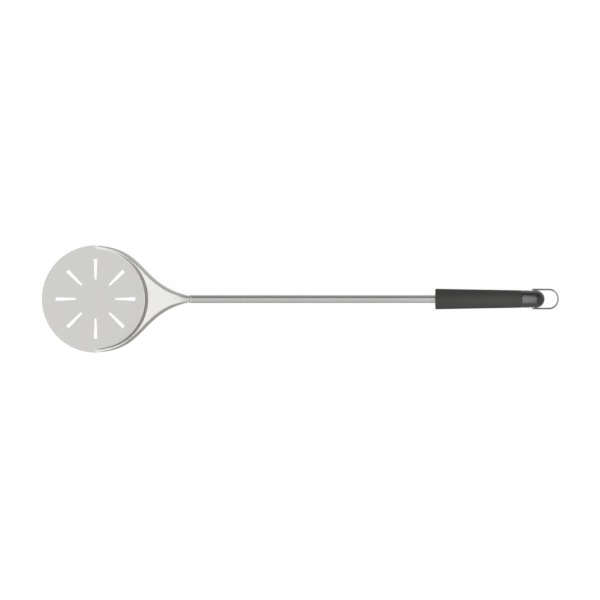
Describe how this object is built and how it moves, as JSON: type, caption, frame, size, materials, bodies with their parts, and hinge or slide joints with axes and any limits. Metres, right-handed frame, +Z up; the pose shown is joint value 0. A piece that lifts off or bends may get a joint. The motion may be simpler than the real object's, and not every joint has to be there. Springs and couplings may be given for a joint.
{
  "type": "pizza turning peel",
  "caption": "Round slotted steel turning peel: pressed head with a raised flanged neck, long thin tube, tapered moulded grip, round end cap and a wire hanging loop that swings.",
  "frame": {"origin": "centre of the round disc on its underside, the face it rests on", "axes": "+X runs from the disc along the handle to the hanging loop, +Z is up out of the disc's top face, +Y completes the right-handed frame"},
  "size_m": [0.8507, 0.176, 0.0339],
  "materials": {
    "head_steel": "satin stainless sheet with a fine cross grain",
    "weld_steel": "dressed weld bead",
    "tube_steel": "stainless tube polished round its girth",
    "grip_skin": "charcoal soft-touch moulding with a fine spark-eroded grain",
    "grip_core": "plain black moulding",
    "pin_steel": "drawn steel pin",
    "cap_plastic": "black moulding, semi-gloss",
    "wire_steel": "bright drawn stainless wire"
  },
  "bodies": {
    "peel": {"blade": "head_steel", "neck_weld": "weld_steel", "shaft_tube": "tube_steel", "grip_sleeve": "grip_skin", "grip_core": "grip_core", "cross_pin": "pin_steel", "end_cap": "cap_plastic"},
    "loop": {"bail": "wire_steel"}
  },
  "joints": [
    {"name": "loop_swing", "type": "hinge", "parent": "peel", "child": "loop", "pos_m": [0.7183, 0, 0.01695], "axis": [0, 1, 0], "range_deg": [-175.3, 135.7]}
  ]
}
